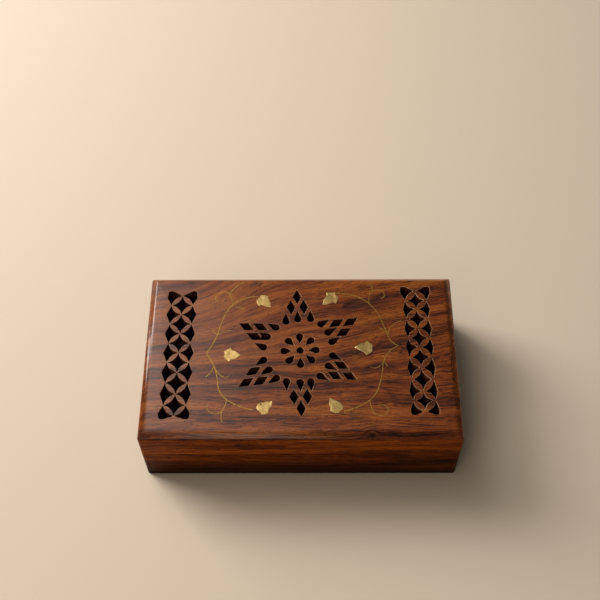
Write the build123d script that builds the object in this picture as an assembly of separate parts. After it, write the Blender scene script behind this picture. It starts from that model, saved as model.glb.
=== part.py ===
from build123d import *
import math
import os

os.makedirs("parts", exist_ok=True)

# A hinged sheesham jewellery box. The lid's top board is pierced with two jali strips, a six-armed star
# and an eight-petal rosette, and is inlaid with six brass leaves and four brass-wire vines.
# X runs along the box, +Y is the hinge side, +Z is up. The origin is the middle of the underside.
# All sizes are in millimetres.

# ------------------------------------------------------------------ carcase
length = 254.0
depth = 150.0
height = 70.0
base_height = 38.0          # underside to the seam between base and lid
seam_gap = 0.3              # daylight between the closed rims
wall = 10.0                 # thickness of every board round the box
corner_lap = 5.0            # front and back boards lap this much over the ends of the side boards
corner_radius = 2.5         # softened upright corners
top_board = 10.0            # thickness of the pierced lid board
bevel = 5.3                 # 45 degree bevel round the lid's top
floor_thickness = 5.0
floor_lip = 5.0             # wood left outside the floor panel's rebate
floor_gap = 0.2             # room for the floor panel to be dropped in

# ------------------------------------------------------------------ velvet lining
lining = 1.2
lining_below_rim = 4.0      # from the base's rim down to the wall strips
lining_gap = 0.1            # between a lining and the next one

# ------------------------------------------------------------------ brads in the floor
brad_radius = 0.75
brad_head_radius = 1.4
brad_head = 0.8
brad_length = 14.0
brads_along = 4             # on each long side
brads_across = 2            # on each short side

# ------------------------------------------------------------------ butt hinges
hinge_length = 25.0
hinge_inset = 52.0          # from the end of the box to the middle of a hinge
hinge_behind = 3.2          # from the pin to the box's back face
leaf_edge = 0.4             # wood between the leaf's free edge and the inside of the wall
leaf_thickness = 1.0
knuckle_radius = 2.2
knuckle_gap = 0.2           # between neighbouring knuckles
knuckle_room = 0.3          # between a knuckle and what it turns past
pin_radius = 0.9
pin_clearance = 0.05        # running clearance in the lid leaf's knuckle
pin_overhang = 0.3          # pin end beyond the last knuckle
opening_angle = 100.0       # the two back chamfers meet here
chamfer_margin = 0.5        # degrees taken off each chamfer beyond that

# ------------------------------------------------------------------ hinge screws
screw_spacing = 15.0
screw_radius = 0.8
screw_head_radius = 1.6
screw_head = 0.8
screw_length = 8.0
screw_slot = 0.4

# ------------------------------------------------------------------ jali strips
jali_pitch = 18.57          # from one crossing on the centre line to the next
jali_end_margin = 18.0      # least wood between the last crossing and the lid's edge
# How the two strips were set out: inset from the end of the box to the centre line, shift off the
# middle of the lid, centre line to side crossings, petal width, half sizes of the wood left where petals
# meet, reach of a side hole past the side crossings, how far each crossing on the centre line strayed
# from an even spacing, and the strip's lean in degrees.
left_strip = {
    "inset": 28.0,
    "shift": -0.7,
    "half": 8.8,
    "petal": 3.9,
    "knot": (0.9, 0.6),
    "apex": 3.6,
    "drift": (0.0, 0.2, 0.3, 0.9, 1.5, 0.5, 0.0),
    "lean": 0.0,
}
right_strip = {
    "inset": 30.2,
    "shift": 3.2,
    "half": 8.65,
    "petal": 4.9,
    "knot": (2.5, 1.0),
    "apex": 2.6,
    "drift": (0.0, 0.9, 0.5, 1.7, 1.7, -1.5, 0.0),
    "lean": 0.8,
}
# The two holes at each end of a strip: rise past the last crossing, reach past the side crossings,
# distance of the inner corner from the centre line, and corner radius.
left_top_ear = (4.6, 3.8, 8.4, 2.2)
left_bottom_ear = (3.0, 3.8, 8.4, 2.2)
right_top_ear = (4.7, 4.0, 8.4, 1.2)
right_bottom_ear = (3.3, 2.7, 7.4, 1.6)

# ------------------------------------------------------------------ star and rosette
# The ornament between the strips is set out for this much clear lid, and follows the lid's size.
ornament_clear_length = 172.15
ornament_lid_depth = 150.0
star_centre = (-1.5, 1.9)
star_reach = (59.2, 56.1, 58.1, 59.2, 54.1, 57.6)     # anticlockwise from the top arm
star_turn = (1.7, 2.0, 4.7, 2.3, 0.1, 2.7)            # degrees off a true sixth of a turn
# Drops that were sawn off their true place, as (arm, place in the row): (move in X, move in Y).
drop_stray = {
    (0, -1): (1.0, -2.0),
    (1, 0): (-2.0, 0.6),
    (2, 0): (0.0, -0.9),
    (2, 1): (1.6, -0.9),
    (3, -1): (-2.0, 1.0),
    (3, 0): (0.0, 0.9),
    (3, 1): (-0.3, 2.2),
    (4, -1): (0.7, -1.4),
    (4, 0): (2.4, -1.6),
    (4, 1): (0.9, -1.7),
    (5, -1): (0.0, 0.8),
    (5, 0): (0.0, 1.8),
    (5, 1): (-2.6, 1.8),
}
broken_arm = 1              # the arm that lost the bar between a diamond and the middle drop
lattice_row = 10.3          # from one row of holes to the next along an arm
lattice_width = 10.6        # between neighbours in a row
lattice_bar = 2.8           # wood left between two holes
star_drop_radius = 3.15
star_drop_reach = 8.6       # circle centre to the point
stub_length = 5.6           # what is left of the broken bar
stub_width = 1.2
rosette_centre = (-0.4, 2.1)
rosette_turn = 2.0          # degrees
rosette_hole_radius = 3.05
rosette_petals = 8
rosette_circle = 13.0       # from the rosette's centre to a petal's round end
rosette_drop_radius = 3.1
rosette_drop_reach = 6.5

# ------------------------------------------------------------------ brass inlay
leaf_depth = 1.0
leaf_rounding = 0.35
nail_hole_radius = 0.75
wire_depth = 0.8
stem_width = 0.85
tendril_width = 0.65

# Each leaf is sawn by eye: where its middle lies, and its outline round that from the point.
leaf_cuts = {
    "upper_left": (
        (-30.8, 50.0),
        ((6.3, -6.8), (5.4, -0.9), (3.2, 3.1), (3.8, 4.8), (0.2, 5.8), (-2.9, 5.5), (-3.7, 3.3),
         (-6.2, 0.6), (-5.2, -3.2), (-3.9, -5.4), (-2.7, -4.2), (-0.4, -4.6), (1.9, -5.9)),
    ),
    "left": (
        (-56.2, -1.7),
        ((7.7, -0.3), (5.4, 1.9), (3.0, 3.7), (0.6, 4.1), (-0.7, 6.8), (-3.6, 4.9), (-6.1, 3.1),
         (-5.1, 0.9), (-6.0, -0.9), (-4.9, -3.6), (-1.5, -6.3), (0.5, -4.3), (2.2, -4.6), (5.2, -2.4)),
    ),
    "lower_left": (
        (-28.7, -49.2),
        ((6.6, 6.3), (6.0, 1.0), (3.6, -2.3), (3.9, -4.6), (1.5, -5.9), (-1.5, -6.2), (-3.1, -3.8),
         (-5.4, -1.7), (-5.9, 0.6), (-4.6, 3.3), (-2.5, 4.7), (-1.0, 4.1), (1.5, 5.6), (4.2, 5.1)),
    ),
    "upper_right": (
        (25.5, 52.2),
        ((-7.2, -6.1), (-6.2, -0.9), (-3.5, 3.0), (-4.1, 6.0), (0.2, 6.1), (3.6, 6.0), (3.8, 3.8),
         (6.3, 1.1), (5.5, -2.0), (3.7, -5.4), (2.3, -4.1), (0.5, -4.3), (-3.3, -6.0)),
    ),
    "right": (
        (53.0, 4.7),
        ((-9.2, 0.4), (-4.7, 3.8), (-0.9, 4.7), (1.2, 6.9), (3.4, 4.4), (5.2, 3.6), (5.9, 1.6),
         (5.1, -0.5), (5.4, -3.2), (3.2, -5.5), (0.5, -7.2), (-1.9, -4.2), (-3.8, -3.5)),
    ),
    "lower_right": (
        (28.8, -48.3),
        ((-5.8, 7.9), (-2.7, 6.1), (2.7, 3.4), (5.1, -0.5), (4.2, -3.2), (1.9, -4.1), (1.0, -6.0),
         (-1.9, -6.1), (-5.5, -4.1), (-5.0, -0.9), (-6.2, 1.5)),
    ),
}
nail_hole_at = (-2.5, 2.8)  # from the middle of the lower left leaf

# Each wire starts at a point in a direction (degrees from +X) and bends through the others in arcs
# that run on into each other. A vine's first wire is its stem, and the rest branch off it.
vines = {
    "upper_right": {
        "stem": ((29.7, 57.4), -2.0, ((44.7, 54.7), (57.6, 46.2), (66.6, 30.6), (71.5, 15.0), (79.7, 6.2))),
        "curl": ((56.9, 47.0), 95.0, ((57.8, 56.0), (64.7, 60.8), (70.1, 55.4), (67.0, 52.2))),
        "shoot": ((59.0, 58.2), 60.0, ((60.2, 62.6), (58.4, 67.0))),
        "tendril": ((70.2, 18.4), 135.0, ((64.3, 23.7),)),
        "branch": ((71.5, 16.8), 85.0, ((75.3, 25.4), (82.6, 30.0))),
    },
    "lower_right": {
        "stem": (
            (78.6, 5.6), 200.0, ((70.0, -1.2), (66.2, -11.7), (62.4, -30.6), (51.2, -45.4), (34.4, -52.6))
        ),
        "tendril": ((67.4, -7.5), -115.0, ((62.6, -13.2), (56.3, -13.3))),
        "short_tendril": ((67.4, -7.0), -78.0, ((69.8, -12.6),)),
        "curl": (
            (54.6, -42.6), -92.0, ((57.0, -53.0), (64.0, -56.4), (68.4, -51.0), (64.6, -47.0), (61.2, -47.6))
        ),
    },
    "upper_left": {
        "stem": (
            (-36.2, 54.3), 182.0, ((-49.6, 51.0), (-61.8, 38.3), (-67.2, 21.0), (-70.6, 10.6), (-76.2, -0.6))
        ),
        "curl": ((-56.8, 45.8), 92.0, ((-59.4, 56.0), (-66.4, 58.6), (-71.2, 54.4), (-68.6, 49.8))),
        "shoot": ((-59.6, 57.0), 62.0, ((-54.4, 64.2), (-47.8, 68.3))),
        "tendril": ((-67.2, 17.2), 40.0, ((-62.8, 20.0), (-56.7, 20.8))),
        "short_tendril": ((-68.2, 17.4), 158.0, ((-72.6, 21.2),)),
        "stray_arc": ((-53.9, 43.6), 12.0, ((-46.7, 40.2),)),
    },
    "lower_left": {
        "stem": ((-76.0, -1.4), -50.0, ((-69.5, -12.5), (-66.0, -28.0), (-57.0, -43.3), (-37.8, -51.2))),
        "tendril": ((-69.7, -12.4), -66.0, ((-64.6, -20.2), (-57.0, -21.2))),
        "short_tendril": ((-70.1, -12.8), -100.0, ((-75.7, -22.0),)),
        "curl": ((-58.4, -41.4), -88.0, ((-61.6, -52.2), (-68.4, -54.4), (-73.6, -49.6), (-72.6, -46.4))),
        "shoot": ((-61.9, -52.8), -95.0, ((-61.2, -61.7),)),
    },
}

# ------------------------------------------------------------------ worked out from the sizes above
half_length = length / 2
half_depth = depth / 2
base_rim = base_height - seam_gap / 2
lid_rim = base_height + seam_gap / 2
board_under = height - top_board
pin_y = half_depth - hinge_behind
knuckle_length = (hinge_length - 2 * knuckle_gap) / 3
leaf_reach = wall - hinge_behind - leaf_edge
screw_from_pin = (knuckle_radius + knuckle_room + leaf_reach) / 2
hinges = {"left": hinge_inset - half_length, "right": half_length - hinge_inset}
left_strip_x = left_strip["inset"] - half_length
right_strip_x = half_length - right_strip["inset"]
clear_left = left_strip_x + left_strip["half"] + left_strip["apex"]
clear_right = right_strip_x - right_strip["half"] - right_strip["apex"]
ornament_scale = min((clear_right - clear_left) / ornament_clear_length, depth / ornament_lid_depth)


def save(name, shape):
    """Writes one piece, or one group of identical fasteners, under its own name."""
    shape.label = name
    export_step(shape, f"parts/{name}.step")


def block(x, y, z):
    """A box between two corners, given as a (low, high) pair for each axis."""
    size = [pair[1] - pair[0] for pair in (x, y, z)]
    return Pos(*[sum(pair) / 2 for pair in (x, y, z)]) * Box(*size)


def rod_x(x, radius):
    """A round bar along the hinge line between two places on it."""
    middle = Pos(sum(x) / 2, pin_y, base_height)
    return middle * Rot(0, 90, 0) * Cylinder(radius, x[1] - x[0])


def scaled(point):
    return (point[0] * ornament_scale, point[1] * ornament_scale)


def outline(*points):
    """A flat face with straight edges, facing up whichever way its points run."""
    return make_face(Polyline(*points, close=True))


# ------------------------------------------------------------------ box boards
footprint = extrude(RectangleRounded(length, depth, corner_radius), height)


def wall_boards(z):
    """Front, back, left and right boards between two levels, lapped at the corners."""
    inner_x = half_length - wall
    inner_y = half_depth - wall
    lap_y = half_depth - corner_lap
    front = block((-half_length, half_length), (-half_depth, -inner_y), z)
    for end in (-1, 1):
        rebate_x = sorted((end * inner_x, end * half_length))
        front -= block(rebate_x, (-lap_y, -inner_y), z)
    left = block((-half_length, -inner_x), (-lap_y, lap_y), z)
    boards = {"front": front, "back": mirror(front, Plane.XZ), "left": left, "right": mirror(left, Plane.YZ)}
    return {side: board & footprint for side, board in boards.items()}


def back_chamfer(up):
    """The wedge cut behind the hinge line, above the base's rim or below the lid's."""
    slope = math.radians(opening_angle / 2 + chamfer_margin)
    run = 2 * hinge_behind
    rise = up * run * math.tan(slope)
    profile = outline(
        (pin_y, base_height),
        (pin_y + run, base_height - rise),
        (pin_y + run, base_height + up * wall),
        (pin_y, base_height + up * wall),
    )
    return extrude(Plane.YZ * profile, half_length + wall, both=True)


# ------------------------------------------------------------------ hinges
def hinge_leaf(middle, up):
    """One leaf with its knuckles: up = -1 is the base leaf with two, up = +1 the lid leaf with one."""
    rim = base_height + up * seam_gap / 2
    plate_z = sorted((rim, rim + up * leaf_thickness))
    ends = (middle - hinge_length / 2, middle + hinge_length / 2)
    inner = (middle - knuckle_length / 2, middle + knuckle_length / 2)
    outer = ((ends[0], inner[0] - knuckle_gap), (inner[1] + knuckle_gap, ends[1]))
    own, other = ((inner,), outer) if up > 0 else (outer, (inner,))
    leaf = block(ends, (pin_y - leaf_reach, pin_y), plate_z)
    for span in other:
        notch = (span[0] - knuckle_gap, span[1] + knuckle_gap)
        leaf -= rod_x(notch, knuckle_radius + knuckle_room)
    for span in own:
        leaf += rod_x(span, knuckle_radius)
    bore = pin_radius + (pin_clearance if up > 0 else 0.0)
    leaf -= rod_x((ends[0] - wall, ends[1] + wall), bore)
    for screw in hinge_screws(middle, up):
        leaf -= screw
    return leaf


def hinge_screws(middle, up, slotted=False):
    """The leaf's two countersunk screws, heads flush with the leaf."""
    rim = base_height + up * seam_gap / 2
    cone = extrude(Circle(screw_head_radius), -screw_head, taper=45)
    shank = Pos(0, 0, -screw_length / 2) * Cylinder(screw_radius, screw_length)
    screw = cone + shank
    if slotted:
        screw -= Box(2 * screw_head_radius, screw_slot, screw_slot * 2)
    turn = Rot(180, 0, 0) if up > 0 else Rot(0, 0, 0)
    y = pin_y - screw_from_pin
    return [Pos(middle + side * screw_spacing / 2, y, rim) * turn * screw for side in (-1, 1)]


def hinge_pocket(middle, up):
    """The room let into a rim for one leaf, its screws and both leaves' knuckles."""
    rim = base_height + up * seam_gap / 2
    plate_z = sorted((rim, rim + up * leaf_thickness))
    ends = (middle - hinge_length / 2, middle + hinge_length / 2)
    pocket = block(ends, (pin_y - leaf_reach, pin_y), plate_z)
    room = 2 * pin_overhang
    pocket += rod_x((ends[0] - room, ends[1] + room), knuckle_radius + knuckle_room)
    for screw in hinge_screws(middle, up):
        pocket += screw
    return pocket


# ------------------------------------------------------------------ shapes sawn through the lid
def drop(reach, radius):
    """A drop whose round end is centred on the origin and whose point is at +Y."""
    half_angle = math.asin(radius / reach)
    touch_x = radius * math.cos(half_angle)
    touch_y = radius * math.sin(half_angle)
    return outline((0, reach), (-touch_x, touch_y), (touch_x, touch_y)) + Circle(radius)


def petal(start, end, width):
    """A pointed lens of wood between two crossings."""
    a, b = Vector(*start), Vector(*end)
    across = (b - a).normalized().rotate(Axis.Z, 90) * (width / 2)
    middle = (a + b) / 2
    return make_face(ThreePointArc(a, middle + across, b) + ThreePointArc(b, middle - across, a))


def ear(strip, crossing, ends_at, up):
    """One end of a strip, from the side crossings over the last crossing: a band with two rounded corners."""
    rise, reach, inner, rounding = ends_at
    half = strip["half"]
    side_y = crossing - up * jali_pitch / 2
    top_y = crossing + up * rise
    side = (half, side_y)
    shoulder = (half + reach, crossing - up * rounding)
    corner = (half + reach - rounding / 3, top_y)
    right = outline((0, side_y), side, shoulder, corner, (inner, top_y), (0, crossing))
    rounded = [v for v in right.vertices() if abs(v.X - corner[0]) < 1e-6 or abs(v.X - shoulder[0]) < 1e-6]
    right = fillet(rounded, rounding)
    return right + mirror(right, Plane.YZ)


def jali_strip(strip, strip_x, top_ear, bottom_ear):
    """All the holes of one strip: a zigzag band with the wooden petals left standing in it."""
    cells = math.floor((depth - 2 * jali_end_margin) / jali_pitch)
    half = strip["half"]
    crossings = []
    for k in range(cells + 1):
        stray = strip["drift"][k] if 0 < k < min(cells, len(strip["drift"])) else 0.0
        crossings.append((cells / 2 - k) * jali_pitch + stray)
    sides = [(upper + lower) / 2 for upper, lower in zip(crossings, crossings[1:])]
    sides[0] = crossings[0] - jali_pitch / 2
    sides[-1] = crossings[-1] + jali_pitch / 2
    zigzag = [(half, sides[0])]
    for k in range(1, cells):
        zigzag.append((half + strip["apex"], crossings[k]))
        zigzag.append((half, sides[k]))
    band = outline(*zigzag, *[(-x, y) for x, y in reversed(zigzag)])
    band += ear(strip, crossings[0], top_ear, 1)
    band += ear(strip, crossings[-1], bottom_ear, -1)
    for k, side_y in enumerate(sides):
        for centre_y in (crossings[k], crossings[k + 1]):
            band -= Pos(0, centre_y) * Ellipse(*strip["knot"])
            for end in (-1, 1):
                band -= petal((0, centre_y), (end * half, side_y), strip["petal"])
        for end in (-1, 1):
            band -= Pos(end * half, side_y) * Ellipse(*strip["knot"])
    return Pos(strip_x, strip["shift"]) * Rot(0, 0, strip["lean"]) * band


def diamond(row, width, bar):
    """One cell of an arm's lattice, less half a bar all round."""
    cell_inset = row * width / 2 / math.hypot(row, width / 2)
    share = 1 - (bar / 2) / cell_inset
    a, b = row * share, width / 2 * share
    return outline((0, a), (-b, 0), (0, -a), (b, 0)), a, b


def star_arm(arm):
    """One arm from the star's centre: one diamond, then two, then three drops."""
    row = lattice_row * ornament_scale
    width = lattice_width * ornament_scale
    cell, tip, side_reach = diamond(row, width, lattice_bar)
    first = star_reach[arm] * ornament_scale - tip
    turn = 60 * arm + star_turn[arm]
    holes = Pos(0, first) * cell
    for side in (-1, 1):
        holes += Pos(side * width / 2, first - row) * cell
    radius = star_drop_radius * ornament_scale
    drop_reach = star_drop_reach * ornament_scale
    drop_places = []
    for side in (-1, 0, 1):
        stray = Vector(*scaled(drop_stray.get((arm, side), (0.0, 0.0)))).rotate(Axis.Z, -turn)
        place = Vector(side * width, first - 2 * row + tip - drop_reach) + stray
        drop_places.append(place)
        holes += Pos(place.X, place.Y) * drop(drop_reach, radius)
    if arm == broken_arm:
        broken = drop_places[1]
        across = (broken - Vector(-width / 2, first - row)).normalized().rotate(Axis.Z, 90) * radius
        near, far = broken + across, broken - across
        holes += outline(
            (side_reach - width / 2, first - row),
            (near.X, near.Y),
            (far.X, far.Y),
            (-width / 2, first - row - tip),
        )
        lean = math.degrees(math.atan2(row, width / 2)) - 180
        stub = Pos(stub_length / 2, 0) * Rectangle(stub_length, stub_width)
        holes -= Pos(0, first - row) * Rot(0, 0, lean) * stub
    return Rot(0, 0, turn) * holes


def star():
    holes = Sketch()
    for arm in range(len(star_reach)):
        holes += star_arm(arm)
    return Pos(*scaled(star_centre)) * holes


def rosette():
    holes = Circle(rosette_hole_radius * ornament_scale)
    one = drop(rosette_drop_reach * ornament_scale, rosette_drop_radius * ornament_scale)
    for k in range(rosette_petals):
        place = Rot(0, 0, 360 / rosette_petals * k + rosette_turn) * Pos(0, rosette_circle * ornament_scale)
        holes += place * Rot(0, 0, 180) * one
    return Pos(*scaled(rosette_centre)) * holes


# ------------------------------------------------------------------ brass inlay outlines
def leaf_face(centre, cut):
    points = [scaled((centre[0] + x, centre[1] + y)) for x, y in cut]
    face = outline(*points)
    point = Vector(*points[0])
    soft = [v for v in face.vertices() if (Vector(v) - point).length > leaf_rounding]
    return fillet(soft, leaf_rounding * ornament_scale)


def wire_face(start, heading, through, width):
    """A flat ribbon of wire that bends through its points, with rounded ends."""
    here = Vector(*scaled(start))
    tangent = Vector(1, 0).rotate(Axis.Z, heading)
    ribbon = Pos(here.X, here.Y) * Circle(width / 2)
    for point in through:
        there = Vector(*scaled(point))
        arc = TangentArc(here, there, tangent=tangent)
        ribbon += trace(arc, width)
        ribbon += Pos(there.X, there.Y) * Circle(width / 2)
        tangent = arc % 1
        here = there
    return ribbon


# ------------------------------------------------------------------ base
base_boards = wall_boards((0, base_rim))
rebate_x = (floor_lip - half_length, half_length - floor_lip)
rebate_y = (floor_lip - half_depth, half_depth - floor_lip)
floor_rebate = block(rebate_x, rebate_y, (0, floor_thickness))
for side in base_boards:
    base_boards[side] -= floor_rebate
floor_panel = block(
    (rebate_x[0] + floor_gap, rebate_x[1] - floor_gap),
    (rebate_y[0] + floor_gap, rebate_y[1] - floor_gap),
    (0, floor_thickness),
)

# Brads run up through the floor panel's edge into the middle of each wall's ledge.
brad = Pos(0, 0, brad_length / 2) * Cylinder(brad_radius, brad_length)
brad += Pos(0, 0, brad_head / 2) * Cylinder(brad_head_radius, brad_head)
ledge = (wall + floor_lip) / 2
brad_places = []
for k in range(brads_along):
    along = (k - (brads_along - 1) / 2) * (length - 2 * wall) / brads_along
    brad_places += [(along, end * (half_depth - ledge)) for end in (-1, 1)]
for k in range(brads_across):
    across = (k - (brads_across - 1) / 2) * (depth - 2 * wall) / brads_across
    brad_places += [(end * (half_length - ledge), across) for end in (-1, 1)]
brads = [Pos(x, y, 0) * brad for x, y in brad_places]
for one in brads:
    floor_panel -= one
    for side in base_boards:
        base_boards[side] -= one

# ------------------------------------------------------------------ velvet
inner_x = half_length - wall
inner_y = half_depth - wall
strip_z = (floor_thickness + lining + lining_gap, base_rim - lining_below_rim)
linings = {
    "floor_velvet": block(
        (-inner_x, inner_x), (-inner_y, inner_y), (floor_thickness, floor_thickness + lining)
    ),
    "front_velvet": block((-inner_x, inner_x), (-inner_y, lining - inner_y), strip_z),
    "back_velvet": block((-inner_x, inner_x), (inner_y - lining, inner_y), strip_z),
}
side_y = (lining - inner_y + lining_gap, inner_y - lining - lining_gap)
linings["left_velvet"] = block((-inner_x, lining - inner_x), side_y, strip_z)
linings["right_velvet"] = block((inner_x - lining, inner_x), side_y, strip_z)

# ------------------------------------------------------------------ lid frame and hinge fitting
lid_rails = wall_boards((lid_rim, board_under))
base_boards["back"] -= back_chamfer(1)
lid_rails["back"] -= back_chamfer(-1)
for side, middle in hinges.items():
    base_boards["back"] -= hinge_pocket(middle, -1)
    lid_rails["back"] -= hinge_pocket(middle, 1)
    save(f"hinge_{side}_base_leaf", hinge_leaf(middle, -1))
    save(f"hinge_{side}_lid_leaf", hinge_leaf(middle, 1))
    pin_half = hinge_length / 2 + pin_overhang
    save(f"hinge_{side}_pin", rod_x((middle - pin_half, middle + pin_half), pin_radius))
    save(f"hinge_{side}_base_screws", Compound(children=hinge_screws(middle, -1, slotted=True)))
    save(f"hinge_{side}_lid_screws", Compound(children=hinge_screws(middle, 1, slotted=True)))

for side, board in base_boards.items():
    save(f"base_{side}_board", board)
for side, rail in lid_rails.items():
    save(f"lid_{side}_rail", rail)
save("base_floor_panel", floor_panel)
save("floor_brads", Compound(children=brads))
for name, cloth in linings.items():
    save(name, cloth)

# ------------------------------------------------------------------ inlay pieces
inlay_faces = {}
for name, (centre, cut) in leaf_cuts.items():
    inlay_faces[f"leaf_{name}"] = (leaf_face(centre, cut), leaf_depth)
nail_x = leaf_cuts["lower_left"][0][0] + nail_hole_at[0]
nail_y = leaf_cuts["lower_left"][0][1] + nail_hole_at[1]
holed, _ = inlay_faces["leaf_lower_left"]
holed -= Pos(*scaled((nail_x, nail_y))) * Circle(nail_hole_radius * ornament_scale)
inlay_faces["leaf_lower_left"] = (holed, leaf_depth)

for vine, wires in vines.items():
    for wire, (start, heading, through) in wires.items():
        width = stem_width if wire == "stem" else tendril_width
        face = wire_face(start, heading, through, width)
        for laid, _ in inlay_faces.values():
            face -= laid
        largest = max(face.faces(), key=lambda piece: piece.area)
        inlay_faces[f"vine_{vine}_{wire}"] = (Sketch() + largest, wire_depth)

top = Plane.XY.offset(height)
inlays = {name: extrude(top * face, -deep) for name, (face, deep) in inlay_faces.items()}

# ------------------------------------------------------------------ pierced lid board
lid_board = block((-half_length, half_length), (-half_depth, half_depth), (board_under, height))
lid_board = chamfer(lid_board.edges().group_by(Axis.Z)[-1], bevel)
lid_board &= footprint
holes = jali_strip(left_strip, left_strip_x, left_top_ear, left_bottom_ear)
holes += jali_strip(right_strip, right_strip_x, right_top_ear, right_bottom_ear)
holes += star()
holes += rosette()
lid_board -= extrude(Plane.XY.offset(board_under) * holes, top_board)
for piece in inlays.values():
    lid_board -= piece
save("lid_pierced_board", lid_board)
for name, piece in inlays.items():
    save(name, piece)
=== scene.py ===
import math
import bmesh
import bpy
from mathutils import Matrix, Vector, noise


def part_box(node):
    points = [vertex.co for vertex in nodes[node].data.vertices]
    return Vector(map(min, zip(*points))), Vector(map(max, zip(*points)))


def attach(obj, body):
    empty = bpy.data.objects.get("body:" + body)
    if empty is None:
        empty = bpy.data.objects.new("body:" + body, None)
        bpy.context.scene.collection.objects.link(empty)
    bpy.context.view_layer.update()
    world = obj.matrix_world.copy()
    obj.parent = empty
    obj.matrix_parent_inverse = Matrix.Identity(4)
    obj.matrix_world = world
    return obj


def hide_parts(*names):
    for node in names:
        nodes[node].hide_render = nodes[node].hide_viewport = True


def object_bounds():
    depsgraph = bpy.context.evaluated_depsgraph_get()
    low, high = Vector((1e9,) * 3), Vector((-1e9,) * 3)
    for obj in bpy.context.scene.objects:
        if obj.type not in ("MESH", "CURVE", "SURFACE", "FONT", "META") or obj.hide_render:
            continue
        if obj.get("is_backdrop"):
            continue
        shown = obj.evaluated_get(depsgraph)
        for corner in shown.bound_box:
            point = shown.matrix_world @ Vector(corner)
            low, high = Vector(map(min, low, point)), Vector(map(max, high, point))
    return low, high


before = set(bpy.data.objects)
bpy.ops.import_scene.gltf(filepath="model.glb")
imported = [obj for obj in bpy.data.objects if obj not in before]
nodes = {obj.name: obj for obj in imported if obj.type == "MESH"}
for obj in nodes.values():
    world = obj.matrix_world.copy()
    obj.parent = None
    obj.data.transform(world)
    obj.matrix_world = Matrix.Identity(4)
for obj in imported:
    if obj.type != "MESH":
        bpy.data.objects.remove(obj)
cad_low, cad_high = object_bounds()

# ---------------------------------------------------------------------------------- base boards
# Four boards of waxed sheesham, 10 mm thick, lapped and glued at the corners. The faces are sanded and
# rubbed with wax, so they are satin, with red-brown wood between nearly black streaks and open pores.
# The boards are painted darker towards the foot, a painted shade where the box meets the floor.
MM = 0.001
back_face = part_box("base_back_board")[1].y
base_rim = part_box("base_front_board")[1].z
seam_softening = 0.45 * MM
foot_softening = 0.35 * MM
# An arris sharper than board_corner is an outer one where it lies within outer_band of the box's outside.
outer_band = 3 * MM
board_corner = math.radians(60)
smooth_below = math.radians(38)
same_level = 0.01 * MM
# Height in mm below which the base boards are painted darker, as painted shade.
painted_shade_height = 42.0
upright_tones = {"dark": "#1e0802", "middle": "#752f05", "light": "#b85c0c"}


def colour(code):
    """An sRGB hex code as linear RGBA."""
    values = [int(code[i:i + 2], 16) / 255 for i in (1, 3, 5)]
    return [v / 12.92 if v <= 0.04045 else ((v + 0.055) / 1.055) ** 2.4 for v in values] + [1.0]


def add(tree, kind, inputs=None, **settings):
    """Adds a node: settings are its properties, inputs its sockets' values or the sockets that feed them."""
    node = tree.nodes.new(kind)
    for name, value in settings.items():
        setattr(node, name, value)
    for socket, value in (inputs or {}).items():
        if isinstance(value, bpy.types.NodeSocket):
            tree.links.new(value, node.inputs[socket])
        else:
            node.inputs[socket].default_value = value
    return node


def times(tree, vector, factors):
    """A vector with each axis multiplied by its own factor."""
    return add(tree, "ShaderNodeVectorMath", {0: vector, 1: factors}, operation="MULTIPLY").outputs[0]


def new_material(name):
    """An empty material, its node tree, and the place on the piece in millimetres."""
    material = bpy.data.materials.new(name)
    material.use_nodes = True
    tree = material.node_tree
    tree.nodes.clear()
    place = add(tree, "ShaderNodeTexCoord").outputs["Object"]
    return material, tree, times(tree, place, (1 / MM, 1 / MM, 1 / MM))


def math_node(tree, operation, *values):
    return add(tree, "ShaderNodeMath", dict(enumerate(values)), operation=operation).outputs[0]


def distance(tree, value, mark):
    """How far a value is from a mark."""
    return math_node(tree, "ABSOLUTE", math_node(tree, "SUBTRACT", value, mark))


def mixed(tree, amount, first, second):
    """The first colour where the amount is 0, turning into the second where it is 1."""
    return add(tree, "ShaderNodeMix", {0: amount, 6: first, 7: second}, data_type="RGBA").outputs[2]


def slope(tree, value, start, end, low=0.0, high=1.0, smooth=True):
    """low at start and high at end, level beyond them."""
    return add(tree, "ShaderNodeMapRange", {
        "Value": value, "From Min": start, "From Max": end, "To Min": low, "To Max": high,
    }, interpolation_type="SMOOTHSTEP" if smooth else "LINEAR").outputs[0]


def figure(tree, grain, along, wide, detail=2.0, roughness=0.55):
    """Noise drawn out along the grain: its features are along mm long and wide mm across."""
    sized = times(tree, grain, (1 / along, 1 / wide, 1 / wide))
    return add(tree, "ShaderNodeTexNoise", {
        "Vector": sized, "Scale": 1.0, "Detail": detail, "Roughness": roughness,
    }).outputs[0]


def lid_drift(tree, x, y):
    """How far the lid's figure climbs, in mm, at a place on it.

    The streaks are level at the front and climb 1 in 5 to the right at the back, the back left holds
    a steeper flame, and the grain rides over a small knot on the front bevel.
    """
    back = slope(tree, y, -45.0, 25.0, 0.0, 0.20)
    climb = math_node(tree, "MULTIPLY", x, back)
    flame = math_node(
        tree, "MULTIPLY", slope(tree, x, -100.0, -10.0, -34.0, 0.0), slope(tree, y, -8.0, 60.0)
    )
    knot_length = slope(tree, distance(tree, x, 55.0), 0.0, 9.0, 1.0, 0.0)
    knot_width = slope(tree, distance(tree, y, -69.5), 1.0, 9.0, 1.0, 0.0)
    arch = math_node(tree, "MULTIPLY", math_node(tree, "MULTIPLY", knot_length, knot_width), 3.4)
    return math_node(tree, "ADD", math_node(tree, "ADD", climb, flame), arch)


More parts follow.
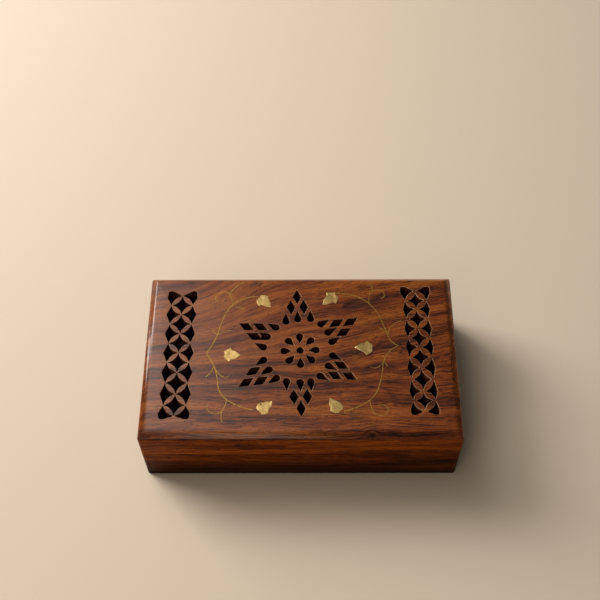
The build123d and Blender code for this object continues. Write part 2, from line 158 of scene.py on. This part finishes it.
def sheesham(name, plank, turned=False, dark="#30140a", middle="#793810", light="#a25a1c",
             figured=False, sawn=False, foot=None):
    """Waxed sheesham whose grain runs along X, or along Y where it is turned.

    plank picks the piece of the log, in mm. figured adds the lid's climbing figure, its knot and its
    thicker wax. Sawn walls are the same wood, rough and unwaxed. foot is the height in mm below which a
    base board is painted darker, as painted shade towards the floor.
    """
    material, tree, place = new_material(name)
    axes = add(tree, "ShaderNodeSeparateXYZ", {0: place})
    x, y, z = axes.outputs[1 if turned else 0], axes.outputs[0 if turned else 1], axes.outputs[2]
    if figured:
        y = math_node(tree, "SUBTRACT", y, lid_drift(tree, x, y))
    straight = add(tree, "ShaderNodeCombineXYZ", {0: x, 1: y, 2: z}).outputs[0]
    straight = add(tree, "ShaderNodeVectorMath", {0: straight, 1: plank}, operation="ADD").outputs[0]
    # A slow wander moves the grain up to 4.5 mm sideways, and a short ripple up to 1.3 mm.
    grain = straight
    for length, width, reach in ((70, 30, 9.0), (17, 9, 2.6)):
        sized = times(tree, straight, (1 / length, 1 / width, 1 / width))
        waver = add(tree, "ShaderNodeTexNoise", {"Vector": sized, "Scale": 1.0, "Detail": 1.0})
        centred = add(tree, "ShaderNodeVectorMath", {
            0: waver.outputs["Color"], 1: (0.5, 0.5, 0.5),
        }, operation="SUBTRACT")
        grain = add(tree, "ShaderNodeVectorMath", {
            0: centred.outputs[0], 1: (0.0, reach, reach), 2: grain,
        }, operation="MULTIPLY_ADD").outputs[0]
    bands = figure(tree, grain, 240.0, 12.0, 2.0)
    streaks = figure(tree, grain, 190.0, 4.2, 1.0)
    fine_streaks = figure(tree, grain, 85.0, 1.7, 1.0)
    mottle = figure(tree, grain, 16.0, 1.3, 3.0, 0.65)
    breaks = figure(tree, grain, 34.0, 5.0, 1.0)
    fibre = figure(tree, grain, 22.0, 0.75, 2.0, 0.6)
    # Real pores are 0.2 mm wide, and are drawn 0.5 mm wide so that they show.
    pores = figure(tree, grain, 3.4, 0.5, 1.0, 0.5)

    # A dark line lies where a streak layer crosses its middle value.
    heavy = slope(tree, distance(tree, streaks, 0.5), 0.0, 0.034, 1.0, 0.0)
    heavy = math_node(tree, "MULTIPLY", heavy, slope(tree, bands, 0.40, 0.60, 1.0, 0.35))
    thin = slope(tree, distance(tree, fine_streaks, 0.5), 0.0, 0.045, 0.9, 0.0)
    thin = math_node(tree, "MULTIPLY", thin, slope(tree, breaks, 0.40, 0.58, 0.3, 1.0))
    lines = math_node(tree, "MAXIMUM", heavy, thin)
    fine = math_node(tree, "MULTIPLY_ADD", math_node(tree, "ADD", mottle, fibre), 0.5, -0.5)
    tone = math_node(tree, "ADD", bands, fine)
    ramp = add(tree, "ShaderNodeValToRGB", {"Fac": tone})
    stops = ramp.color_ramp.elements
    stops[0].position, stops[0].color = 0.26, colour(dark)
    stops[1].position, stops[1].color = 0.72, colour(light)
    stops.new(0.47).color = colour(middle)
    tint = mixed(tree, lines, ramp.outputs[0], colour("#1b0a05"))
    pore = slope(tree, pores, 0.60, 0.70, 0.0, 0.7, smooth=False)
    tint = mixed(tree, pore, tint, colour("#1a0c07"))
    if figured:
        knot_centre = (55.5, -72.6, 67.2)
        core = add(tree, "ShaderNodeVectorMath", {0: place, 1: knot_centre}, operation="DISTANCE")
        knot = slope(tree, core.outputs["Value"], 1.2, 3.6, 0.8, 0.0)
        tint = mixed(tree, knot, tint, colour("#1e0d06"))
    # Painted shade: below foot the wood turns nearly black towards the floor.
    if foot:
        foot_shade = slope(tree, z, foot, 0.0, 0.0, 0.9)
        tint = mixed(tree, foot_shade, tint, colour("#0e0502"))
    shader = add(tree, "ShaderNodeBsdfPrincipled", {"Base Color": tint})
    if sawn:
        shader.inputs["Roughness"].default_value = 0.85
        shader.inputs["Specular IOR Level"].default_value = 0.1
    else:
        polish = slope(tree, mottle, 0.35, 0.65, 0.34, 0.46)
        tree.links.new(polish, shader.inputs["Roughness"])
        shader.inputs["Specular IOR Level"].default_value = 0.12 if figured else 0.03
        if figured:
            shader.inputs["Coat Weight"].default_value = 0.75
            shader.inputs["Coat Roughness"].default_value = 0.23
    relief = math_node(tree, "MULTIPLY_ADD", pore, -1.0, fibre)
    bump = add(tree, "ShaderNodeBump", {"Height": relief, "Strength": 0.4, "Distance": 0.12 * MM})
    tree.links.new(bump.outputs[0], shader.inputs["Normal"])
    add(tree, "ShaderNodeOutputMaterial", {"Surface": shader.outputs[0]})
    return material


def bench_copy(node):
    """The CAD node's mesh with its loose triangles joined and its flat faces whole."""
    shape = bmesh.new()
    shape.from_mesh(nodes[node].data)
    bmesh.ops.remove_doubles(shape, verts=shape.verts, dist=0.002 * MM)
    bmesh.ops.dissolve_limit(
        shape, angle_limit=math.radians(0.5), verts=shape.verts, edges=shape.edges, delimit={"NORMAL"}
    )
    return shape


def round_over(shape, edges, width, segments):
    """Breaks the given arrises by width, and gives the faces that this makes."""
    return bmesh.ops.bevel(
        shape, geom=edges, offset=width, offset_type="OFFSET", segments=segments, profile=0.5,
        affect="EDGES", material=-1, clamp_overlap=False,
    )["faces"]


def finish_piece(shape, name, body, materials, node):
    """Turns a bmesh into a piece that rides on a body and stands for a CAD node."""
    mesh = bpy.data.meshes.new(name)
    shape.to_mesh(mesh)
    shape.free()
    piece = bpy.data.objects.new(name, mesh)
    bpy.context.scene.collection.objects.link(piece)
    for material in materials:
        mesh.materials.append(material)
    mesh.shade_smooth()
    mesh.set_sharp_from_angle(angle=smooth_below)
    piece.modifiers.new("weighted normals", "WEIGHTED_NORMAL").keep_sharp = True
    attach(piece, body)
    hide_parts(node)
    return piece


def lies_at(edge, axis, level):
    return all(abs(vert.co[axis] - level) < same_level for vert in edge.verts)


def broken_arrises(shape, level, width):
    """Rounds the outer arris of a board that lies at a level: the box's foot, or a rim at the seam."""
    edges = [
        edge for edge in shape.edges
        if lies_at(edge, 2, level) and edge.calc_face_angle(0) > board_corner and all(
            abs(vert.co.x) > cad_high.x - outer_band or abs(vert.co.y) > back_face - outer_band
            for vert in edge.verts
        )
    ]
    round_over(shape, edges, width, 2)


for side, plank in (
    ("front", (175.0, 40.0, 140.0)),
    ("back", (310.0, 75.0, 15.0)),
    ("left", (65.0, 110.0, 75.0)),
    ("right", (10.0, 200.0, 35.0)),
):
    wood = sheesham(
        f"sheesham_base_{side}", plank, turned=side in ("left", "right"), foot=painted_shade_height, **upright_tones,
    )
    shape = bench_copy(f"base_{side}_board")
    broken_arrises(shape, base_rim, seam_softening)
    broken_arrises(shape, 0.0, foot_softening)
    finish_piece(shape, f"base_{side}", "base", (wood,), f"base_{side}_board")

# ---------------------------------------------------------------------------------- floor panel and brads
# A 5 mm sheesham panel set into a rebate from below and held by twelve steel wire brads, driven flush
# through its edge. The panel is only sanded, and the brads' cut heads have gone grey.
panel_wood = sheesham("sheesham_floor_panel", (300.0, 150.0, 5.0), sawn=True)
nodes["base_floor_panel"].data.materials.clear()
nodes["base_floor_panel"].data.materials.append(panel_wood)


def rubbed_metal(name, clean, tarnish, roughness, dent_size, dent_depth, patches=0.8):
    """Metal rubbed bright: shallow dents of a size and depth in mm, and patches of tarnish."""
    material, tree, place = new_material(name)
    dent = add(tree, "ShaderNodeTexNoise", {"Vector": place, "Scale": 1 / dent_size, "Detail": 2.0})
    stain = add(tree, "ShaderNodeTexNoise", {"Vector": place, "Scale": 0.45, "Detail": 5.0, "Roughness": 0.7})
    amount = slope(tree, stain.outputs[0], 0.42, 0.68, 0.0, patches)
    bump = add(tree, "ShaderNodeBump", {
        "Height": dent.outputs[0], "Strength": 1.0, "Distance": dent_depth * MM,
    })
    shader = add(tree, "ShaderNodeBsdfPrincipled", {
        "Base Color": mixed(tree, amount, colour(clean), colour(tarnish)),
        "Metallic": 1.0, "Normal": bump.outputs[0],
        "Roughness": slope(tree, stain.outputs[0], 0.3, 0.7, roughness - 0.06, roughness + 0.12),
    })
    add(tree, "ShaderNodeOutputMaterial", {"Surface": shader.outputs[0]})
    return material


brad_steel = rubbed_metal("steel_brad_heads", "#8c8780", "#4d4640", 0.45, 1.0, 0.1)
nodes["floor_brads"].data.materials.clear()
nodes["floor_brads"].data.materials.append(brad_steel)

# ---------------------------------------------------------------------------------- velvet lining
# Short-pile velvet on thin card, glued down in one piece on the floor and one strip on each wall. Its
# pile drinks the light, so it is nearly black from above and dark maroon where it is seen along the pile.
velvet, tree, place = new_material("velvet_short_pile")
# Real pile is 0.1 mm across, and is drawn 0.4 mm across so that it shows.
pile = add(tree, "ShaderNodeTexNoise", {"Vector": place, "Scale": 1 / 0.4, "Detail": 2.0}).outputs[0]
stroked = add(tree, "ShaderNodeTexNoise", {"Vector": place, "Scale": 1 / 35.0, "Detail": 2.0}).outputs[0]
amount = slope(tree, math_node(tree, "ADD", stroked, pile), 0.75, 1.25)
tint = mixed(tree, amount, colour("#17050a"), colour("#3a0a12"))
bump = add(tree, "ShaderNodeBump", {"Height": pile, "Strength": 0.6, "Distance": 0.25 * MM})
shader = add(tree, "ShaderNodeBsdfPrincipled", {
    "Base Color": tint, "Roughness": 0.95, "Specular IOR Level": 0.05, "Sheen Weight": 0.35,
    "Sheen Roughness": 0.4, "Sheen Tint": colour("#7a1c28"), "Normal": bump.outputs[0],
})
add(tree, "ShaderNodeOutputMaterial", {"Surface": shader.outputs[0]})
edge_roll = 0.5 * MM
cut_spacing = 8 * MM
hill_size = 22 * MM
nap_relief = 0.22 * MM
for node, faces, supports, held in (
    ("floor_velvet", (2, 1), ["base_floor_panel"], "laid"),
    ("front_velvet", (1, 1), ["base_front"], "stretched"),
    ("back_velvet", (1, -1), ["base_back"], "stretched"),
    ("left_velvet", (0, 1), ["base_left"], "stretched"),
    ("right_velvet", (0, -1), ["base_right"], "stretched"),
):
    low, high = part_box(node)
    middle, size = (low + high) / 2, high - low
    axis, sign = faces
    shape = bmesh.new()
    in_place = Matrix.Translation(middle) @ Matrix.Diagonal((*size, 1.0))
    bmesh.ops.create_cube(shape, size=1.0, matrix=in_place)
    shown_level = high[axis] if sign > 0 else low[axis]
    shown = [edge for edge in shape.edges if lies_at(edge, axis, shown_level)]
    round_over(shape, shown, edge_roll, 3)
    for lie in (0, 1, 2):
        if lie != axis:
            # Cut across, so that the pile's slight hills can be pressed into it.
            cuts = max(2, round(size[lie] / cut_spacing))
            for step in range(1, cuts):
                cut_at = middle.copy()
                cut_at[lie] = low[lie] + size[lie] * step / cuts
                across = Vector((0, 0, 0))
                across[lie] = 1
                whole = shape.verts[:] + shape.edges[:] + shape.faces[:]
                bmesh.ops.bisect_plane(shape, geom=whole, plane_co=cut_at, plane_no=across)
    for vert in shape.verts:
        if abs(vert.co[axis] - shown_level) < same_level:
            hill = noise.noise(vert.co / hill_size)
            vert.co[axis] -= sign * nap_relief * (0.5 + 0.5 * hill)
    lining = finish_piece(shape, node.replace("_velvet", "_lining"), "base", (velvet,), node)

# ---------------------------------------------------------------------------------- hinges and screws
# Two pressed brass butt hinges, 25 mm wide, let into the back rims so that their knuckles lie between the
# two chamfers there. Each turns on a brass pin and is held by two slotted brass screws in each leaf.
hinge_brass = rubbed_metal("brass_hinge_pressed", "#d2ad5c", "#8a6a30", 0.30, 4.0, 0.1)
screw_brass = rubbed_metal("brass_screw_turned", "#d9b765", "#7d5f2a", 0.28, 2.0, 0.05)
pressed_edge = 0.18 * MM
pressed_corner = math.radians(50)
for side in ("left", "right"):
    for part, body in (("base_leaf", "base"), ("lid_leaf", "lid"), ("pin", "base")):
        node = f"hinge_{side}_{part}"
        shape = bench_copy(node)
        sharp = [
            edge for edge in shape.edges
            if edge.is_convex and edge.calc_face_angle(0) > pressed_corner
        ]
        round_over(shape, sharp, pressed_edge, 2)
        finish_piece(shape, f"{node}_brass", body, (hinge_brass,), node)
    for leaf in ("base", "lid"):
        screws = nodes[f"hinge_{side}_{leaf}_screws"].data
        screws.materials.clear()
        screws.materials.append(screw_brass)

# ---------------------------------------------------------------------------------- lid frame
# Four rails of the same wood, lapped at the corners like the base. The front rail has the grain of the
# lid board's edge above it, so the glue line is hard to find.
lid_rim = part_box("lid_front_rail")[0].z
for side, plank in (
    ("front", (31.0, 0.0, 12.0)),
    ("back", (140.0, 30.0, 55.0)),
    ("left", (20.0, 60.0, 25.0)),
    ("right", (90.0, 15.0, 85.0)),
):
    wood = sheesham(f"sheesham_lid_{side}", plank, turned=side in ("left", "right"), **upright_tones)
    shape = bench_copy(f"lid_{side}_rail")
    broken_arrises(shape, lid_rim, seam_softening)
    finish_piece(shape, f"lid_{side}", "lid", (wood,), f"lid_{side}_rail")

# ---------------------------------------------------------------------------------- pierced lid board
# One 10 mm board of sheesham, sawn through by hand with two jali strips, a star and a rosette, then
# chamfered all round, sanded and waxed. Sanding has rounded its arrises and worn a fine rim round every
# hole, which is painted paler, partly for that wear and partly as a painted highlight. The sawn walls below
# are rough and painted darker, as painted shade inside the holes.
board_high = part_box("lid_pierced_board")[1]
lid_top = board_high.z
crest_softening = 2.2 * MM
back_crest_softening = 0.9 * MM
chamfer_foot_softening = 1.1 * MM
rim_wear = 0.26 * MM
pocket_wear = 0.1 * MM
# A wall that reaches below hole_depth is a hole's, and one that reaches below pocket_depth a leaf's pocket.
hole_depth = 5 * MM
pocket_depth = 0.9 * MM
# Walls within edge_band of the outline are the board's own edge.
edge_band = 6 * MM
SAWN, SIDE, WORN_AND_HIGHLIGHT = 1, 2, 3
# How far the normals of the board's faces rise: its edges, its chamfer and its flat top.
UPRIGHT, CHAMFER, LEVEL = (-0.1, 0.1), (0.65, 0.75), (0.99, 1.1)


def wall_foot(edge):
    """How low the upright face under an edge of the lid's top reaches, or None where there is none."""
    upright = [face for face in edge.link_faces if UPRIGHT[0] < face.normal.z < UPRIGHT[1]]
    feet = [min(vert.co.z for vert in face.verts) for face in upright]
    return min(feet) if feet else None


def arrises(shape, lower, upper, at_back=None):
    """The edges between faces whose normals rise by two given amounts, at the back, elsewhere or both."""
    found = []
    for edge in shape.edges:
        low_rise, high_rise = sorted(face.normal.z for face in edge.link_faces)
        if lower[0] < low_rise < lower[1] and upper[0] < high_rise < upper[1]:
            if at_back is None or (min(vert.co.y for vert in edge.verts) > 0) == at_back:
                found.append(edge)
    return found


lid_woods = (
    sheesham("sheesham_lid_waxed", (210.0, 70.0, 28.0), figured=True),
    # The sawn walls' darker colours are painted shade inside the holes; their roughness is the unwaxed saw
    # cut.
    sheesham(
        "sheesham_sawn_wall", (31.0, 0.0, 12.0), dark="#1c0d07", middle="#5a2f17", light="#7a4524", sawn=True,
    ),
    sheesham("sheesham_lid_edge", (31.0, 0.0, 12.0), **upright_tones),
    # The rim wood is painted paler than the top: partly sanding wear, partly a painted highlight on the hole
    # edges.
    sheesham("sheesham_worn_rim_and_highlight", (31.0, 0.0, 12.0), dark="#64402a", middle="#ab8060", light="#c9a27d"),
)
shape = bench_copy("lid_pierced_board")
round_over(shape, arrises(shape, CHAMFER, LEVEL, at_back=True), back_crest_softening, 3)
round_over(shape, arrises(shape, CHAMFER, LEVEL, at_back=False), crest_softening, 4)
round_over(shape, arrises(shape, UPRIGHT, CHAMFER), chamfer_foot_softening, 3)
rims, pockets = [], []
for edge in shape.edges:
    if lies_at(edge, 2, lid_top):
        foot = wall_foot(edge)
        if foot is not None and foot < lid_top - hole_depth:
            rims.append(edge)
        elif foot is not None and foot < lid_top - pocket_depth:
            pockets.append(edge)
for face in shape.faces:
    centre = face.calc_center_median()
    inside = max(abs(centre.x) - board_high.x, abs(centre.y) - board_high.y) < -edge_band
    if abs(face.normal.z) < 0.5:
        face.material_index = SAWN if inside else SIDE
# Wear and painted highlight: the rounded rim faces round every hole take the paler rim wood.
for face in round_over(shape, rims, rim_wear, 2):
    face.material_index = WORN_AND_HIGHLIGHT
round_over(shape, pockets, pocket_wear, 1)
finish_piece(shape, "lid_board", "lid", lid_woods, "lid_pierced_board")

# ---------------------------------------------------------------------------------- brass leaves
# Six leaves sawn from 1 mm brass sheet, hammered into their pockets and rubbed down with the wood. The
# rubbing leaves shallow dents in their faces and a bright rolled rim.
leaf_brass = rubbed_metal("brass_leaf_hammered", "#d0b070", "#9f7d40", 0.34, 5.5, 0.35, 0.6)
leaf_rim = 0.3 * MM
leaf_corner = 1.0
for node in sorted(nodes):
    if node.startswith("leaf_"):
        shape = bench_copy(node)
        rim = [
            edge for edge in shape.edges
            if lies_at(edge, 2, lid_top) and edge.calc_face_angle(0) > leaf_corner
        ]
        round_over(shape, rim, leaf_rim, 2)
        finish_piece(shape, f"brass_{node}", "lid", (leaf_brass,), node)

# ---------------------------------------------------------------------------------- brass wire vines
# Flat brass wire pressed edgewise into knife-cut grooves and sanded flush. It is dull, and wax and wood
# dust hide it here and there.
wire_brass = rubbed_metal("brass_wire_flush", "#a8843f", "#5a3f1e", 0.46, 1.2, 0.15, 0.7)
for node in sorted(nodes):
    if node.startswith("vine_"):
        nodes[node].data.materials.clear()
        nodes[node].data.materials.append(wire_brass)

# ---------------------------------------------------------------------------------- floor, light and camera
# A pale plain floor, a large soft light overhead on the left, a panel behind on the left whose sheen lies
# across the lid's left end, a strong low box at the left for its crest, and a weak fill from the front.
paper = bpy.data.materials.new("stage_paper")
paper.use_nodes = True
paper_shader = paper.node_tree.nodes["Principled BSDF"]
paper_shader.inputs["Base Color"].default_value = colour("#e2d3bd")
paper_shader.inputs["Roughness"].default_value = 0.9
paper_shader.inputs["Specular IOR Level"].default_value = 0.1
floor_half = 6.0
under_box = Matrix.Translation((0, 0, -0.2 * MM))
shape = bmesh.new()
bmesh.ops.create_grid(shape, x_segments=1, y_segments=1, size=floor_half, matrix=under_box)
mesh = bpy.data.meshes.new("stage_floor")
shape.to_mesh(mesh)
shape.free()
mesh.materials.append(paper)
floor = bpy.data.objects.new("stage_floor", mesh)
bpy.context.scene.collection.objects.link(floor)
floor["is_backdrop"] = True

# The room is dim, so that the boxes of light shape the gloss, but it is seen as pale as the floor.
world = bpy.data.worlds.new("studio")
world.use_nodes = True
room = world.node_tree
dim = room.nodes["Background"]
dim.inputs[0].default_value = colour("#e6e0d8")
dim.inputs[1].default_value = 0.09
seen = add(room, "ShaderNodeBackground", {0: colour("#cdbfae"), 1: 0.9})
direct = add(room, "ShaderNodeLightPath").outputs["Is Camera Ray"]
either = add(room, "ShaderNodeMixShader", {0: direct, 1: dim.outputs[0], 2: seen.outputs[0]})
room.links.new(either.outputs[0], room.nodes["World Output"].inputs[0])
bpy.context.scene.world = world
bpy.context.scene.view_settings.view_transform = "Standard"


def soft_light(name, place, target, size, watts, tint):
    light = bpy.data.lights.new(name, "AREA")
    light.shape = "RECTANGLE"
    light.size, light.size_y = size
    light.energy = watts
    light.color = colour(tint)[:3]
    lamp = bpy.data.objects.new(name, light)
    lamp.location = place
    lamp.rotation_euler = (Vector(target) - Vector(place)).to_track_quat("-Z", "Y").to_euler()
    lamp.visible_camera = False
    bpy.context.scene.collection.objects.link(lamp)


soft_light("key_softbox", (-0.52, 0.25, 1.5), (0.0, 0.0, 0.04), (1.1, 1.1), 4.8, "#fff8f0")
soft_light("back_panel", (-0.78, 1.06, 1.6), (0.0, 0.0, 0.06), (0.9, 1.0), 7.0, "#fffaf6")
soft_light("sheen_softbox", (-1.5, 0.9, 1.1), (0.0, 0.0, 0.06), (1.05, 1.0), 40.0, "#fffaf6")
soft_light("front_fill", (-0.75, -1.25, 1.4), (0.0, 0.0, 0.03), (1.0, 0.9), 4.4, "#fff0e0")

lens = bpy.data.cameras.new("camera")
lens.lens = 59.9
lens.sensor_width = 36.0
camera = bpy.data.objects.new("camera", lens)
camera.matrix_world = (
    Matrix.Translation((0.0063, -0.3997, 0.7739))
    @ Matrix.Rotation(math.radians(0.88), 4, "Z")
    @ Matrix.Rotation(math.radians(32.61), 4, "X")
    @ Matrix.Rotation(math.radians(-0.90), 4, "Z")
)
bpy.context.scene.collection.objects.link(camera)
bpy.context.scene.camera = camera

low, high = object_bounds()
